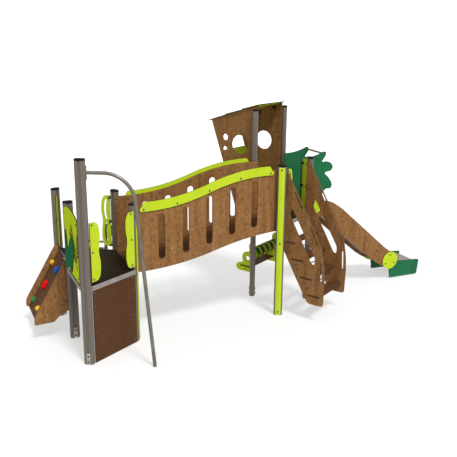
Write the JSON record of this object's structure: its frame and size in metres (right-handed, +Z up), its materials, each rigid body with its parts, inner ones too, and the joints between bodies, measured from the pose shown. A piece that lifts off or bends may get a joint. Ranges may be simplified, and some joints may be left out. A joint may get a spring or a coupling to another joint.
{
  "type": "play structure with climbing wall",
  "caption": "Modular playground play structure: a low tower with a climbing wall, a pole and an arched ladder, a curved bridge, and a high tower with a cabin, stairs, slide and bench.",
  "frame": {"origin": "middle of the bounding box in plan, at ground level, on the underside of the posts", "axes": "+Z up, +X along the bridge from the low tower towards the slide, +Y from the stairs side towards the cabin side"},
  "size_m": [5.7214, 2.5244, 2.6282],
  "materials": {
    "post_metal": "grey-brown powder coat, slightly rough",
    "deck_plate": "near-black brown board with small raised studs on a grey steel edge",
    "brown_board": "dark brown laminate, satin",
    "wood_look_board": "wood-look laminate, mottled brown with light upright streaks, satin",
    "lime_board": "lime laminate, satin, brown core at the edges",
    "green_board": "leaf green laminate, satin, brown core at the edges",
    "steel_tube": "satin stainless steel tube",
    "steel_sheet": "brushed stainless steel sheet",
    "hold_yellow": "cast resin with fine grit",
    "hold_blue": "cast resin with fine grit",
    "hold_red": "cast resin with fine grit",
    "hold_green": "cast resin with fine grit"
  },
  "bodies": {
    "structure": {"arch_climber": "steel_tube", "bead_axle": "steel_tube", "bench_end_far": "lime_board", "bench_end_near": "lime_board", "bench_seat": "brown_board", "bridge_deck": "brown_board", "bridge_panel_far": "wood_look_board", "bridge_panel_near": "wood_look_board", "bridge_rail_far": "lime_board", "bridge_rail_near": "lime_board", "cabin_front": "lime_board", "cabin_roof": "lime_board", "cabin_wall_far": "wood_look_board", "cabin_wall_near": "wood_look_board", "climb_board": "brown_board", "climb_cheek_far": "wood_look_board", "climb_cheek_near": "wood_look_board", "deck_high": "deck_plate", "deck_low": "deck_plate", "fire_pole": "steel_tube", "guard_bridge_post": "lime_board", "guard_pole_post": "lime_board", "handle_climb": "lime_board", "handle_ladder": "lime_board", "handle_stair": "lime_board", "hold_blue": "hold_blue", "hold_green": "hold_green", "hold_red": "hold_red", "hold_yellow_low": "hold_yellow", "hold_yellow_top": "hold_yellow", "leaf_guard_far": "green_board", "leaf_guard_near": "green_board", "play_panel": "lime_board", "post_bridge_low_far": "post_metal", "post_bridge_low_near": "post_metal", "post_cabin_far": "post_metal", "post_cabin_near": "post_metal", "post_fire_pole": "post_metal", "post_slide": "post_metal", "post_stair": "post_metal", "post_wall_far": "post_metal", "post_wall_near": "post_metal", "slide_bed": "steel_sheet", "slide_cheek_far": "wood_look_board", "slide_cheek_near": "wood_look_board", "slide_filler": "lime_board", "slide_foot_far": "green_board", "slide_foot_near": "green_board", "stair_cheek_far": "wood_look_board", "stair_cheek_near": "wood_look_board", "tread_1": "brown_board", "tread_2": "brown_board", "tread_3": "brown_board", "tread_4": "brown_board", "under_deck_wall": "brown_board"},
    "bead_roller_1": {"bead_1": "lime_board"},
    "bead_roller_2": {"bead_2": "green_board"},
    "bead_roller_3": {"bead_3": "lime_board"},
    "bead_roller_4": {"bead_4": "green_board"},
    "bead_roller_5": {"bead_5": "lime_board"}
  },
  "joints": [
    {"name": "bead_1_spin", "type": "hinge", "parent": "structure", "child": "bead_roller_1", "pos_m": [0.2256, 0.34492, 0.572], "axis": [0.866, 0.5, 0], "continuous": true},
    {"name": "bead_2_spin", "type": "hinge", "parent": "structure", "child": "bead_roller_2", "pos_m": [0.32693, 0.40342, 0.572], "axis": [0.866, 0.5, 0], "continuous": true},
    {"name": "bead_3_spin", "type": "hinge", "parent": "structure", "child": "bead_roller_3", "pos_m": [0.42825, 0.46192, 0.572], "axis": [0.866, 0.5, 0], "continuous": true},
    {"name": "bead_4_spin", "type": "hinge", "parent": "structure", "child": "bead_roller_4", "pos_m": [0.52958, 0.52043, 0.572], "axis": [0.866, 0.5, 0], "continuous": true},
    {"name": "bead_5_spin", "type": "hinge", "parent": "structure", "child": "bead_roller_5", "pos_m": [0.6309, 0.57893, 0.572], "axis": [0.866, 0.5, 0], "continuous": true}
  ]
}
